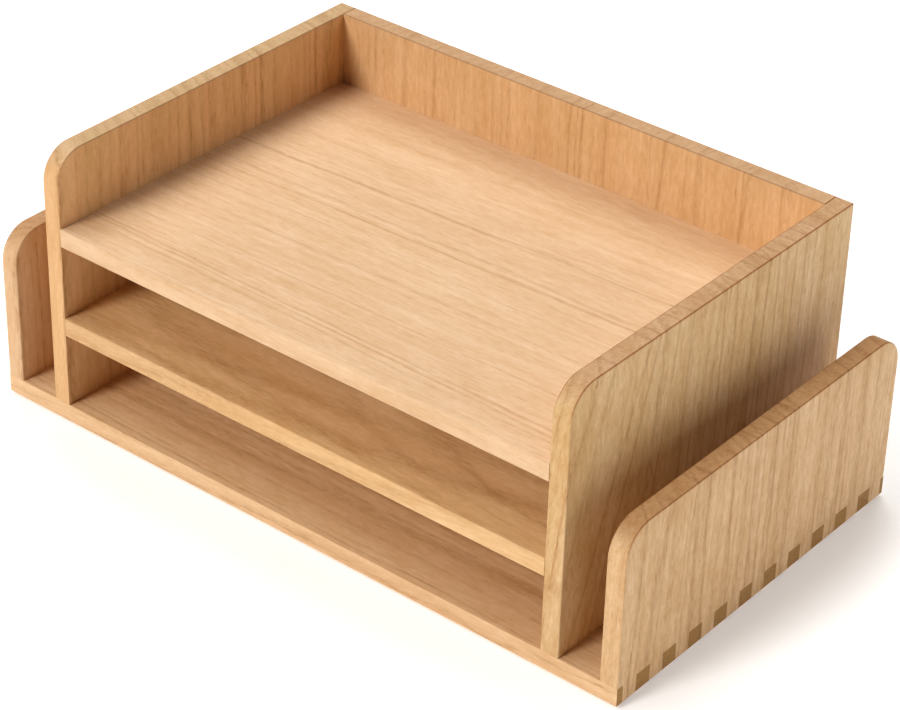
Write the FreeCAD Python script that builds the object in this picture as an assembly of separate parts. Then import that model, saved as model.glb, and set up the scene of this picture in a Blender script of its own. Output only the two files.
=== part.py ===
"""Wooden letter tray: an open top tray over two letter compartments, with a narrow slot down each side.

Frame: X runs across the width, Y from front (-) to back (+), Z up. The origin is the centre of the
footprint, on the surface that the tray stands on. All sizes are in millimetres.
"""
import FreeCAD, Part
import math
import os

# Driving dimensions
WIDTH = 460.0                # over the two low outer sides
DEPTH = 260.0                # front edges to the back face
STOCK = 12.0                 # thickness of every board
COMPARTMENT_CLEAR = 48.75    # height inside each of the two compartments
TRAY_LIP = 47.0              # tall sides and back above the top deck
SLOT_CLEAR = 27.5            # gap between a tall side and the low side beside it
OUTER_SIDE_HEIGHT = 112.0    # low side, from the base's underside to its top edge
CORNER_RADIUS = 20.0         # rounded upper corners of the sides

FINGER_WIDTH = 12.0          # box joint between the base and the low sides
FINGER_PITCH = 24.0
FINGER_OFFSET = 17.0         # front edge to the first whole finger

PAD_RADIUS = 8.0             # anti-slip pads under the base
PAD_THICKNESS = 1.5
PAD_INSET = 22.0             # pad centre from the base's edges

DOWEL_RADIUS = 3.0           # fluted hardwood dowels
DOWEL_LENGTH = 24.0
DOWEL_CHAMFER = 0.6
DOWEL_GLUE_GAP = 0.12        # radial room for glue round a dowel
DOWEL_END_GAP = 0.5          # room at each end of a dowel
DOWEL_FACE_DEPTH = 8.5       # hole in the face of the board that takes the joint
DOWEL_INSET = 30.0           # outermost dowel from the end of its joint

SCREW_LENGTH = 35.0          # countersunk wood screws, up through the base
SCREW_HEAD_RADIUS = 3.5
SCREW_SHANK_RADIUS = 1.7
SCREW_RIM = 0.3              # straight edge of the screw's head
SCREW_SINK = 0.3             # head below the base's underside
SCREW_CLEARANCE = 0.1        # radial room round a screw
SCREW_TIP_LENGTH = 4.0
RECESS_WIDTH = 1.0           # cross recess in the screw's head
RECESS_SPAN = 4.0
RECESS_DEPTH = 1.6
SCREW_INSET = 30.0           # outermost screw from the end of its joint

# Levels and planes that follow from them
BASE_Z0 = PAD_THICKNESS
BASE_Z1 = BASE_Z0 + STOCK
SHELF_Z0 = BASE_Z1 + COMPARTMENT_CLEAR
SHELF_Z1 = SHELF_Z0 + STOCK
DECK_Z0 = SHELF_Z1 + COMPARTMENT_CLEAR
DECK_Z1 = DECK_Z0 + STOCK
TOP_Z = DECK_Z1 + TRAY_LIP
OUTER_TOP_Z = BASE_Z0 + OUTER_SIDE_HEIGHT

FRONT_Y = -DEPTH / 2
REAR_Y = DEPTH / 2
BACK_Y = REAR_Y - STOCK      # inner face of the back panel

OUTER_X1 = WIDTH / 2         # outer face of a low side
OUTER_X0 = OUTER_X1 - STOCK
TALL_X1 = OUTER_X0 - SLOT_CLEAR
TALL_X0 = TALL_X1 - STOCK    # inner face of a tall side

SIDES = {"left": -1, "right": 1}
X_AXIS = FreeCAD.Vector(1, 0, 0)
Y_AXIS = FreeCAD.Vector(0, 1, 0)
Z_AXIS = FreeCAD.Vector(0, 0, 1)


def block(x0, x1, y0, y1, z0, z1):
    """Box between two opposite corners; each pair may come in either order."""
    low = FreeCAD.Vector(min(x0, x1), min(y0, y1), min(z0, z1))
    return Part.makeBox(abs(x1 - x0), abs(y1 - y0), abs(z1 - z0), low)


def side_blank(x0, x1, z0, z1, round_rear):
    """Upright board with its grain up and its front-top corner rounded, and the rear-top one if asked."""
    r = CORNER_RADIUS
    x = min(x0, x1)

    def at(y, z):
        return FreeCAD.Vector(x, y, z)

    diagonal = r * (1 - math.sqrt(0.5))
    edges = [
        Part.LineSegment(at(FRONT_Y, z0), at(FRONT_Y, z1 - r)),
        Part.Arc(at(FRONT_Y, z1 - r), at(FRONT_Y + diagonal, z1 - diagonal), at(FRONT_Y + r, z1)),
    ]
    if round_rear:
        edges += [
            Part.LineSegment(at(FRONT_Y + r, z1), at(REAR_Y - r, z1)),
            Part.Arc(at(REAR_Y - r, z1), at(REAR_Y - diagonal, z1 - diagonal), at(REAR_Y, z1 - r)),
            Part.LineSegment(at(REAR_Y, z1 - r), at(REAR_Y, z0)),
        ]
    else:
        edges += [
            Part.LineSegment(at(FRONT_Y + r, z1), at(REAR_Y, z1)),
            Part.LineSegment(at(REAR_Y, z1), at(REAR_Y, z0)),
        ]
    edges.append(Part.LineSegment(at(REAR_Y, z0), at(FRONT_Y, z0)))
    outline = Part.Wire([edge.toShape() for edge in edges])
    return Part.Face(outline).extrude(X_AXIS * abs(x1 - x0))


def finger_spans():
    """Front and rear plane of each base finger, clipped to the board's depth."""
    spans = []
    start = FRONT_Y + FINGER_OFFSET - FINGER_PITCH
    while start < REAR_Y:
        low, high = max(start, FRONT_Y), min(start + FINGER_WIDTH, REAR_Y)
        if high > low:
            spans.append((low, high))
        start += FINGER_PITCH
    return spans


def base_fingers(side):
    """The base's fingers at one end, as they lie in the low side."""
    return [block(side * OUTER_X0, side * OUTER_X1, low, high, BASE_Z0, BASE_Z1)
            for low, high in finger_spans()]


def spread(low, high, inset, count=3):
    """Evenly spaced places along a joint, with the outermost ones inset from its ends."""
    step = (high - low - 2 * inset) / (count - 1)
    return [low + inset + i * step for i in range(count)]


def dowel(face_point, direction):
    """Chamfered dowel across a joint; direction points out of the faced board, into the edge."""
    start = face_point - direction * (DOWEL_FACE_DEPTH - DOWEL_END_GAP)
    c = DOWEL_CHAMFER
    body = Part.makeCylinder(DOWEL_RADIUS, DOWEL_LENGTH - 2 * c, start + direction * c, direction)
    near = Part.makeCone(DOWEL_RADIUS - c, DOWEL_RADIUS, c, start, direction)
    far = Part.makeCone(DOWEL_RADIUS, DOWEL_RADIUS - c, c, start + direction * (DOWEL_LENGTH - c), direction)
    return near.fuse([body, far]).removeSplitter()


def dowel_hole(face_point, direction):
    """Blind hole that holds a dowel, in both boards at once."""
    start = face_point - direction * DOWEL_FACE_DEPTH
    return Part.makeCylinder(DOWEL_RADIUS + DOWEL_GLUE_GAP, DOWEL_LENGTH + 2 * DOWEL_END_GAP, start, direction)


def screw_outline(grow):
    """Solid of revolution of a countersunk screw at the origin, head down, larger all round by grow."""
    head, shank = SCREW_HEAD_RADIUS + grow, SCREW_SHANK_RADIUS + grow
    cone_top = SCREW_RIM + head - shank
    tip_start = SCREW_LENGTH - SCREW_TIP_LENGTH + grow
    points = [(0, 0), (head, 0), (head, SCREW_RIM), (shank, cone_top),
              (shank, tip_start), (0, SCREW_LENGTH + grow)]
    corners = [FreeCAD.Vector(radius, 0, height) for radius, height in points]
    profile = Part.Face(Part.makePolygon(corners + corners[:1]))
    return profile.revolve(FreeCAD.Vector(0, 0, 0), Z_AXIS, 360)


def screw(place):
    """Wood screw with a cross recess; place is the centre of its head's flat."""
    solid = screw_outline(0)
    half, width = RECESS_SPAN / 2, RECESS_WIDTH / 2
    for slot in (block(-half, half, -width, width, 0, RECESS_DEPTH),
                 block(-width, width, -half, half, 0, RECESS_DEPTH)):
        solid = solid.cut(slot)
    solid.translate(place)
    return solid


def screw_hole(place):
    """Countersunk clearance hole in the base, with the pilot hole above it."""
    hole = screw_outline(SCREW_CLEARANCE)
    mouth = Part.makeCylinder(SCREW_HEAD_RADIUS + SCREW_CLEARANCE, SCREW_SINK + 1, -Z_AXIS * (SCREW_SINK + 1))
    hole = hole.fuse(mouth)
    hole.translate(place)
    return hole


def dowel_joints():
    """Joint name -> list of (point on the faced board, direction into the edge)."""
    joints = {}
    along_y = spread(FRONT_Y, BACK_Y, DOWEL_INSET)
    along_z = spread(BASE_Z1, TOP_Z, DOWEL_INSET)
    along_x = spread(-TALL_X0, TALL_X0, 2 * DOWEL_INSET)
    deck_mid, shelf_mid, back_mid = DECK_Z0 + STOCK / 2, SHELF_Z0 + STOCK / 2, BACK_Y + STOCK / 2
    for name, side in SIDES.items():
        x, inward = side * TALL_X0, X_AXIS * -side
        joints[f"deck_dowels_{name}"] = [(FreeCAD.Vector(x, y, deck_mid), inward) for y in along_y]
        joints[f"shelf_dowels_{name}"] = [(FreeCAD.Vector(x, y, shelf_mid), inward) for y in along_y]
        joints[f"back_dowels_{name}"] = [(FreeCAD.Vector(x, back_mid, z), inward) for z in along_z]
    joints["deck_rear_dowels"] = [(FreeCAD.Vector(x, BACK_Y, deck_mid), -Y_AXIS) for x in along_x]
    return joints


def screw_joints():
    """Joint name -> centres of the screw heads' flats."""
    z = BASE_Z0 + SCREW_SINK
    along_y = spread(FRONT_Y, BACK_Y, SCREW_INSET)
    along_x = spread(-TALL_X0, TALL_X0, 2 * SCREW_INSET)
    joints = {}
    for name, side in SIDES.items():
        x = side * (TALL_X0 + TALL_X1) / 2
        joints[f"{name}_side_screws"] = [FreeCAD.Vector(x, y, z) for y in along_y]
    joints["back_screws"] = [FreeCAD.Vector(x, BACK_Y + STOCK / 2, z) for x in along_x]
    return joints


def boards():
    """The eight boards before the fastener holes are drilled."""
    base = block(-OUTER_X0, OUTER_X0, FRONT_Y, REAR_Y, BASE_Z0, BASE_Z1)
    base = base.fuse(base_fingers(-1) + base_fingers(1)).removeSplitter()
    made = {
        "base_board": base,
        "middle_shelf": block(-TALL_X0, TALL_X0, FRONT_Y, BACK_Y, SHELF_Z0, SHELF_Z1),
        "top_deck": block(-TALL_X0, TALL_X0, FRONT_Y, BACK_Y, DECK_Z0, DECK_Z1),
        "back_panel": block(-TALL_X0, TALL_X0, BACK_Y, REAR_Y, BASE_Z1, TOP_Z),
    }
    for name, side in SIDES.items():
        outer = side_blank(side * OUTER_X0, side * OUTER_X1, BASE_Z0, OUTER_TOP_Z, round_rear=True)
        made[f"{name}_outer_side"] = outer.cut(base_fingers(side))
        made[f"{name}_tall_side"] = side_blank(side * TALL_X0, side * TALL_X1, BASE_Z1, TOP_Z, round_rear=False)
    return made


def drill(board, holes):
    """Cuts from a board the holes that reach into it."""
    near = [hole for hole in holes if hole.BoundBox.intersect(board.BoundBox)]
    return board.cut(near) if near else board


def pads():
    """Four round anti-slip pads under the base's corners."""
    made = {}
    for name, side in SIDES.items():
        for end, y in (("front", FRONT_Y + PAD_INSET), ("rear", REAR_Y - PAD_INSET)):
            centre = FreeCAD.Vector(side * (OUTER_X1 - PAD_INSET), y, 0)
            made[f"{end}_{name}_pad"] = Part.makeCylinder(PAD_RADIUS, PAD_THICKNESS, centre)
    return made


def build():
    """Node name -> shape, for the whole tray."""
    dowels, screws = dowel_joints(), screw_joints()
    holes = [dowel_hole(*place) for places in dowels.values() for place in places]
    holes += [screw_hole(place) for places in screws.values() for place in places]
    nodes = {name: drill(board, holes) for name, board in boards().items()}
    for name, places in dowels.items():
        nodes[name] = Part.makeCompound([dowel(*place) for place in places])
    for name, places in screws.items():
        nodes[name] = Part.makeCompound([screw(place) for place in places])
    nodes.update(pads())
    return nodes


os.makedirs("parts", exist_ok=True)
for node_name, shape in build().items():
    if not shape.isValid():
        raise RuntimeError(f"{node_name} is not a valid solid")
    shape.exportStep(f"parts/{node_name}.step")
    print(f"{node_name}: {len(shape.Solids)} solid(s), {shape.Volume / 1000:.2f} cm3")
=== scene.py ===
"""Letter tray in oiled ash: an open top tray over two compartments, with a slot down each side.

Every board, dowel, screw and pad is made anew from the sizes of the CAD frame. Boards are closed
solids with eased arrises, dressed in one solid ash pattern: annual rings round a pith, cut by the
board wherever it lies in the log, so that face, edge and end grain agree with each other.
"""

import logging
import math
from dataclasses import dataclass, field
from enum import Enum
from typing import Any, Callable, ClassVar

import bmesh
import bpy
from mathutils import Euler, Matrix, Quaternion, Vector


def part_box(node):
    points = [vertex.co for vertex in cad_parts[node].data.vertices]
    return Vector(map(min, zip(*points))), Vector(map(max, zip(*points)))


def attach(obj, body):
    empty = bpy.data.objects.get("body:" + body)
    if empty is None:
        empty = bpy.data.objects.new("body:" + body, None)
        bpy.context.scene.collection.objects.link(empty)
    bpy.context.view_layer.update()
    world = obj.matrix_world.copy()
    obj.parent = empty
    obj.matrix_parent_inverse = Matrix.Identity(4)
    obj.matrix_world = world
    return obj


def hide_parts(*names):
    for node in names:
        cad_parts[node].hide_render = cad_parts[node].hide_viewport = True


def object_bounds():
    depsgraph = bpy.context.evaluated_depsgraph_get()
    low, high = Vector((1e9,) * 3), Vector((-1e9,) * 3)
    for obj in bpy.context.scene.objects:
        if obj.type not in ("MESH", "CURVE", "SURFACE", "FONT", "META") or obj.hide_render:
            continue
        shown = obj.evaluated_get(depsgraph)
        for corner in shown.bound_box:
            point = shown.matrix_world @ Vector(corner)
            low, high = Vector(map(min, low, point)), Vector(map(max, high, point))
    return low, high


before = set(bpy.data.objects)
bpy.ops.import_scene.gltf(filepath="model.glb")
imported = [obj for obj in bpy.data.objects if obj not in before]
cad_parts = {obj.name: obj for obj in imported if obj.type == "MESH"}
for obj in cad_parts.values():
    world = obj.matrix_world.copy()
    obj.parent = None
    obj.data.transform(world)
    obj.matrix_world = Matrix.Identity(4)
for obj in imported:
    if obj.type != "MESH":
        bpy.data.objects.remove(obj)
CAD_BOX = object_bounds()

MM = 0.001
BODY = "root"
LOG = logging.getLogger("letter_tray")

ARRIS = "arris"                        # attribute: how far a rounding meets end grain
TOUCH = 1e-5                           # places nearer than this are one place, in metres
MIX_A, MIX_B, MIX_RESULT = 6, 7, 2     # a Mix node's sockets for colours

Colour = tuple[float, float, float, float]
Triple = tuple[float, float, float]
Piece = bpy.types.Object
EdgeTest = Callable[[Vector, Vector], bool]


# ---------------------------------------------------------------------------------------------
# Small helpers


def linear(hex_colour: str) -> Colour:
    """Turn an sRGB hex colour into linear RGBA.

    Args:
        hex_colour: Six hex digits after a hash.

    Returns:
        Linear red, green, blue and an alpha of 1.
    """
    shares = [int(hex_colour[i:i + 2], 16) / 255 for i in (1, 3, 5)]
    red, green, blue = (s / 12.92 if s <= 0.04045 else ((s + 0.055) / 1.055) ** 2.4 for s in shares)
    return red, green, blue, 1.0


def link_object(name: str, mesh: bpy.types.Mesh) -> Piece:
    """Put a mesh into the scene as an object at the origin.

    Args:
        name: The object's name.
        mesh: Its mesh, already in place.

    Returns:
        The new object.
    """
    mesh.name = name
    piece = bpy.data.objects.new(name, mesh)
    bpy.context.scene.collection.objects.link(piece)
    return piece


def join(name: str, parts: list[Piece]) -> Piece:
    """Join mesh objects into one.

    Args:
        name: The new object's name.
        parts: Objects at the origin, which are used up.

    Returns:
        The joined object.
    """
    whole = bmesh.new()
    for part in parts:
        whole.from_mesh(part.data)
        bpy.data.objects.remove(part)
    mesh = bpy.data.meshes.new(name)
    whole.to_mesh(mesh)
    whole.free()
    return link_object(name, mesh)


def bake_modifiers(piece: Piece) -> Piece:
    """Replace an object's mesh by its evaluated one and drop the modifiers.

    Args:
        piece: The object to flatten.

    Returns:
        The same object, with a plain mesh.
    """
    graph = bpy.context.evaluated_depsgraph_get()
    flat = bpy.data.meshes.new_from_object(piece.evaluated_get(graph), depsgraph=graph)
    flat.name = piece.name
    piece.modifiers.clear()
    piece.data = flat
    return piece


def place_in_frame(piece: Piece, node: str) -> None:
    """Ride a finished piece on the tray's body in place of its CAD node, and report it.

    Args:
        piece: The finished piece.
        node: CAD node that it stands for.
    """
    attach(piece, BODY)
    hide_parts(node)
    LOG.info("%-26s %6d faces, stands for %s", piece.name, len(piece.data.polygons), node)


def station(azimuth: float, elevation: float) -> Vector:
    """Direction from the tray to something that stands round it.

    Args:
        azimuth: Degrees from the tray's front, to the right.
        elevation: Degrees above the horizon.

    Returns:
        Unit vector.
    """
    turn, rise = math.radians(azimuth), math.radians(elevation)
    return Vector((math.sin(turn) * math.cos(rise), -math.cos(turn) * math.cos(rise), math.sin(rise)))


def stand(data: bpy.types.ID, place: Vector, back: Vector, roll: float = 0.0) -> bpy.types.Object:
    """Stand a lamp or a camera in the scene.

    Args:
        data: The lamp's or camera's own data, which also names it.
        place: Where it stands.
        back: Direction to it from what it looks at.
        roll: Turn about its own axis, in degrees.

    Returns:
        The new object.
    """
    thing = bpy.data.objects.new(data.name, data)
    thing.location = place
    thing.rotation_mode = "QUATERNION"
    thing.rotation_quaternion = ((-back).to_track_quat("-Z", "Y")
                                 @ Quaternion((0, 0, 1), math.radians(roll)))
    bpy.context.scene.collection.objects.link(thing)
    return thing


# ---------------------------------------------------------------------------------------------
# Node trees


@dataclass(frozen=True)
class Value:
    """A number, vector or colour that a tree works out, so that rules read as plain arithmetic.

    Attributes:
        tree: The tree that it belongs to.
        socket: The output that carries it.
    """

    tree: "Tree"
    socket: bpy.types.NodeSocket

    def do(self, operation: str, *others: Any) -> "Value":
        """Result of a Math operation on this number and up to two others."""
        return self.tree.value("ShaderNodeMath", dict(enumerate((self, *others))), operation=operation)

    def __add__(self, other: Any) -> "Value":
        """This number plus another."""
        return self.do("ADD", other)

    def __sub__(self, other: Any) -> "Value":
        """This number less another."""
        return self.do("SUBTRACT", other)

    def __mul__(self, other: Any) -> "Value":
        """This number times another."""
        return self.do("MULTIPLY", other)

    def __truediv__(self, other: Any) -> "Value":
        """This number divided by another."""
        return self.do("DIVIDE", other)


class Tree:
    """A shader, world or geometry tree that is being built."""

    def __init__(self, group: bpy.types.NodeTree) -> None:
        """Empty a tree and start on it."""
        self.group = group
        group.nodes.clear()

    def add(self, kind: str, inputs: dict[int | str, Any] | None = None, **settings: Any) -> bpy.types.Node:
        """Add a node with its settings, values and links.

        Args:
            kind: The node's type name.
            inputs: See feed.
            **settings: Properties of the node itself.

        Returns:
            The new node.
        """
        node = self.group.nodes.new(kind)
        for name, value in settings.items():
            setattr(node, name, value)
        self.feed(node, inputs or {})
        return node

    def feed(self, node: bpy.types.Node, inputs: dict[int | str, Any]) -> None:
        """Give a node's inputs their values or links.

        Args:
            node: The node.
            inputs: Input name or index to a constant, a Value or a node, which stands for its
                first output. A list makes several links.
        """
        for key, given in inputs.items():
            for source in given if isinstance(given, list) else [given]:
                if isinstance(source, bpy.types.Node):
                    self.group.links.new(source.outputs[0], node.inputs[key])
                elif isinstance(source, Value):
                    self.group.links.new(source.socket, node.inputs[key])
                else:
                    node.inputs[key].default_value = source

    def value(self, kind: str, inputs: dict[int | str, Any] | None = None, output: int | str = 0,
              **settings: Any) -> Value:
        """Add a node and keep one of its outputs.

        Args:
            kind: The node's type name.
            inputs: See feed.
            output: Name or index of the output.
            **settings: Properties of the node itself.

        Returns:
            What the output gives.
        """
        return Value(self, self.add(kind, inputs, **settings).outputs[output])


class GeometryTree(Tree):
    """A geometry node tree with named inputs, run once to give a plain mesh."""

    def __init__(self, name: str) -> None:
        """Make the empty tree with its geometry output."""
        super().__init__(bpy.data.node_groups.new(name, "GeometryNodeTree"))
        self.group.interface.new_socket("Geometry", in_out="OUTPUT", socket_type="NodeSocketGeometry")
        self.source = self.add("NodeGroupInput")

    def inputs(self, *names: str, kind: str = "Float") -> list[Value]:
        """Add named inputs.

        Args:
            *names: Their names.
            kind: Float, Int, Vector or Material.

        Returns:
            Their values inside the tree.
        """
        for name in names:
            self.group.interface.new_socket(name, in_out="INPUT", socket_type=f"NodeSocket{kind}")
        return [Value(self, self.source.outputs[name]) for name in names]

    def position(self) -> list[Value]:
        """X, Y and Z of each point."""
        split = self.add("ShaderNodeSeparateXYZ", {0: self.add("GeometryNodeInputPosition")})
        return [Value(self, socket) for socket in split.outputs]

    def move(self, geometry: bpy.types.Node, *place: Any) -> bpy.types.Node:
        """Put every point of a geometry at an X, Y and Z that are worked out for it."""
        spot = self.add("ShaderNodeCombineXYZ", dict(enumerate(place)))
        return self.add("GeometryNodeSetPosition", {"Geometry": geometry, "Position": spot})

    def pick(self, index: Value, values: list[Any]) -> Value:
        """Choose one of several values by its number.

        Args:
            index: Number of the wanted value.
            values: Constants or Values.

        Returns:
            The chosen value.
        """
        switch = self.add("GeometryNodeIndexSwitch", data_type="FLOAT")
        while len(switch.index_switch_items) < len(values):
            switch.index_switch_items.new()
        self.feed(switch, dict(enumerate([index, *values])))
        return Value(self, switch.outputs[0])

    def turned(self, profile: list[tuple[Any, Any]], facets: int, flute: Any = 0.0,
               flutes: int = 1) -> bpy.types.Node:
        """Turn a closed solid about the Z axis.

        Args:
            profile: Radius and height of each ring, from the lowest up, as constants or Values.
            facets: Number of faces round the solid.
            flute: Depth of the flutes pressed into its side.
            flutes: Number of flutes.

        Returns:
            The solid.
        """
        steps = len(profile) - 1
        blank = self.add("GeometryNodeMeshCylinder", {
            "Vertices": facets, "Side Segments": steps, "Radius": 1.0, "Depth": float(steps)})
        x, y, z = self.position()
        ring = (z + steps / 2).do("ROUND")
        wave = (y.do("ARCTAN2", x) * float(flutes)).do("COSINE")
        radius, height = (self.pick(ring, list(column)) for column in zip(*profile))
        radius = radius - (wave * -0.5 + 0.5) * flute
        return self.move(blank, x * radius, y * radius, height)

    def finish(self, geometry: bpy.types.Node) -> None:
        """End the tree in Realize Instances and Set Material.

        Args:
            geometry: The finished geometry.
        """
        real = self.add("GeometryNodeRealizeInstances", {0: geometry})
        finish, = self.inputs("Finish", kind="Material")
        painted = self.add("GeometryNodeSetMaterial", {"Geometry": real, "Material": finish})
        self.add("NodeGroupOutput", {0: painted})

    def finish_row(self, geometry: bpy.types.Node) -> None:
        """Repeat a fastener along its row, and end the tree.

        Args:
            geometry: One fastener at the origin, pointing up.
        """
        count, = self.inputs("Count", kind="Int")
        start, step, turn = self.inputs("Start", "Step", "Turn", kind="Vector")
        line = self.add("GeometryNodeMeshLine", {"Count": count, "Start Location": start, "Offset": step})
        self.finish(self.add("GeometryNodeInstanceOnPoints", {
            "Points": line, "Instance": geometry, "Rotation": turn}))

    def grow(self, name: str, values: dict[str, Any]) -> Piece:
        """Run the tree with these inputs and keep the result as a plain mesh object.

        Args:
            name: The new object's name.
            values: Input name to value.

        Returns:
            The object, at the origin, with no modifier.
        """
        carrier = link_object(name, bpy.data.meshes.new(name))
        modifier = carrier.modifiers.new("shape", "NODES")
        modifier.node_group = self.group
        sockets = {item.name: item.identifier for item in self.group.interface.items_tree
                   if item.item_type == "SOCKET" and item.in_out == "INPUT"}
        for key, value in values.items():
            modifier[sockets[key]] = value
        return bake_modifiers(carrier)


# ---------------------------------------------------------------------------------------------
# Finishes


def new_material(name: str) -> tuple[bpy.types.Material, Tree]:
    """Make an empty node material.

    Args:
        name: The real material's name.

    Returns:
        The material and its tree.
    """
    material = bpy.data.materials.new(name)
    material.use_nodes = True
    return material, Tree(material.node_tree)


class Grain(Enum):
    """Way the fibres of a board run, as the world directions of the log's two cross axes and its length."""

    ALONG_X = ((0, 1, 0), (0, 0, 1), (1, 0, 0))
    ALONG_Z = ((1, 0, 0), (0, 1, 0), (0, 0, 1))

    def turn(self) -> Matrix:
        """Matrix that turns world directions into the log's, whose third axis is its length."""
        return Matrix(self.value)

    def length_axis(self) -> Vector:
        """World direction of the fibres."""
        return Vector(self.value[2])


class Layer(Enum):
    """The noises in the wood: size across and along the fibres in millimetres, detail, and number."""

    FIBRE = (0.75, 22.0, 2.0, 1)
    MOTTLE = (2.2, 8.0, 3.0, 2)
    STREAK = (3.4, 130.0, 2.0, 3)
    RING_WANDER = (60.0, 260.0, 1.0, 4)
    RING_WAVE = (9.0, 48.0, 2.0, 5)
    RING_BREAKS = (1.5, 15.0, 3.0, 6)
    PORES = (0.7, 6.5, 1.0, 7)
    CLOUD = (11.0, 36.0, 1.0, 8)
    DRIFT = (26.0, 300.0, 1.5, 9)
    RING_RIPPLE = (1.6, 7.0, 1.0, 10)
    GRIT = (1.1, 2.6, 1.0, 11)
    MARK_WANDER = (30.0, 70.0, 2.0, 12)
    MARK_BREAKS = (1.1, 6.0, 3.0, 13)


@dataclass(frozen=True)
class Mark:
    """One year that stands out from the rest of a board's figure.

    Attributes:
        across: Place across the board, in millimetres from its middle.
        width: Width of the soft line, in millimetres.
        strength: How far the line goes to the colour of the pore lines.
        slope: Millimetres that it moves across for each millimetre along the fibres.
        bend: Millimetres that it moves across at 100 mm from the board's middle.
    """

    across: float
    width: float
    strength: float
    slope: float = 0.0
    bend: float = 0.0


@dataclass(frozen=True)
class OiledAsh:
    """Solid ash, planed, sanded and oiled.

    The eye sees a pale straw ground that drifts a little, brown lines of open pores where each
    year's growth starts, broken into dashes, a fine mottle, long fibres, and darker end grain,
    which drinks more oil.

    Attributes:
        name: Material name.
        grain: Way the fibres run.
        pith: From the board's centre to the log's centre line, in world millimetres.
        crosswise: True for an upright board whose face looks along Y.
        lean: Degrees by which the log's centre line leans from the board's, about its cross axes.
        ring_mm: Mean width of a year's growth.
        seed: Shifts every random pattern, so that no two boards match.
        ground: Ground colour.
        drift: Colour that the ground drifts to.
        line: Colour of the pore lines.
        line_strength: How far a strong line goes to its colour.
        wander_mm: How far the rings wander over the length of the board.
        wave_mm: How far the rings wave at short range.
        rarity: How rare the strong lines are, where 1 gives every strength alike.
        mottle: Strength of the short-range shading, where 1 is usual.
        pores: Strength of the open pores, where 1 is usual.
        marks: Years that stand out.
        end_colour: What the end grain is multiplied by.
        arris_colour: What the arrises round the end grain are multiplied by.
    """

    # Darker wood is also redder: red follows the shading less than green does, and blue more.
    REDDENING: ClassVar[Triple] = (0.64, 1.06, 1.70)

    name: str
    grain: Grain
    pith: Triple
    crosswise: bool = False
    lean: tuple[float, float] = (0.0, 0.0)
    ring_mm: float = 6.0
    seed: float = 0.0
    ground: str = "#E3B885"
    drift: str = "#DEB27C"
    line: str = "#9B5F12"
    line_strength: float = 0.70
    wander_mm: float = 5.0
    wave_mm: float = 1.4
    rarity: float = 1.0
    mottle: float = 1.0
    pores: float = 1.0
    marks: tuple[Mark, ...] = ()
    end_colour: str = "#E0D6C8"
    arris_colour: str = "#D6C8B8"

    def material(self, centre: Vector) -> bpy.types.Material:
        """Build the material for one board.

        Args:
            centre: The board's centre, in metres.

        Returns:
            The material, which reads the board's own Object coordinates and its arris attribute.
        """
        made, tree = new_material(self.name)
        cut = AshCut(self, centre, tree)
        fibre, mottle = cut.noise(Layer.FIBRE), cut.noise(Layer.MOTTLE)
        lines, own_shade = cut.rings()
        pores = cut.pores(lines)
        colour = tree.value("ShaderNodeVectorMath", {
            0: self._ground(cut), 1: self._tint(cut, fibre, mottle, own_shade)}, operation="MULTIPLY")
        ends, arrises = cut.cut_ends()
        coats = [(mask, self.line, "MIX") for mask in (*cut.marks(), lines, pores)]
        coats += [(ends, self.end_colour, "MULTIPLY"), (arrises, self.arris_colour, "MULTIPLY")]
        for mask, coat, way in coats:
            colour = tree.value("ShaderNodeMix", {
                "Factor": mask, MIX_A: colour, MIX_B: linear(coat),
            }, MIX_RESULT, data_type="RGBA", blend_type=way)
        bump = tree.add("ShaderNodeBump", {
            "Strength": 0.35, "Distance": 0.08 * MM,
            "Height": fibre * 0.30 + mottle * 0.20 - lines * 0.10 - pores * 0.60})
        shader = tree.add("ShaderNodeBsdfPrincipled", {
            "Base Color": colour, "Roughness": fibre * 0.10 + pores * 0.15 + 0.50, "IOR": 1.5,
            "Specular IOR Level": 0.28, "Normal": bump})
        tree.add("ShaderNodeOutputMaterial", {"Surface": shader})
        return made

    def _ground(self, cut: "AshCut") -> Value:
        """The ground colour, which drifts slowly along the board."""
        return cut.tree.value("ShaderNodeMix", {
            "Factor": cut.step(cut.noise(Layer.DRIFT), 0.32, 0.68), MIX_A: linear(self.ground),
            MIX_B: linear(self.drift)}, MIX_RESULT, data_type="RGBA")

    def _tint(self, cut: "AshCut", fibre: Value, mottle: Value, own_shade: Value) -> Value:
        """Shading of the ground, round 1 in each of red, green and blue.

        Args:
            cut: The board's cut of the log.
            fibre: Noise of the fibres.
            mottle: Noise of the mottle.
            own_shade: Each year's own shade.

        Returns:
            What the ground is multiplied by.
        """
        shares = ((fibre, 0.14), (cut.noise(Layer.GRIT), 0.10 * self.mottle), (mottle, 0.34 * self.mottle),
                  (cut.noise(Layer.STREAK), 0.22), (cut.noise(Layer.CLOUD), 0.22 * self.mottle),
                  (own_shade, 0.07))
        change: Any = -sum(weight for _, weight in shares) / 2
        for value, weight in shares:
            change = value.do("MULTIPLY_ADD", weight, change)
        return cut.tree.value("ShaderNodeVectorMath", {
            0: change, 1: self.REDDENING, 2: (1.0, 1.0, 1.0)}, operation="MULTIPLY_ADD")


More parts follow.
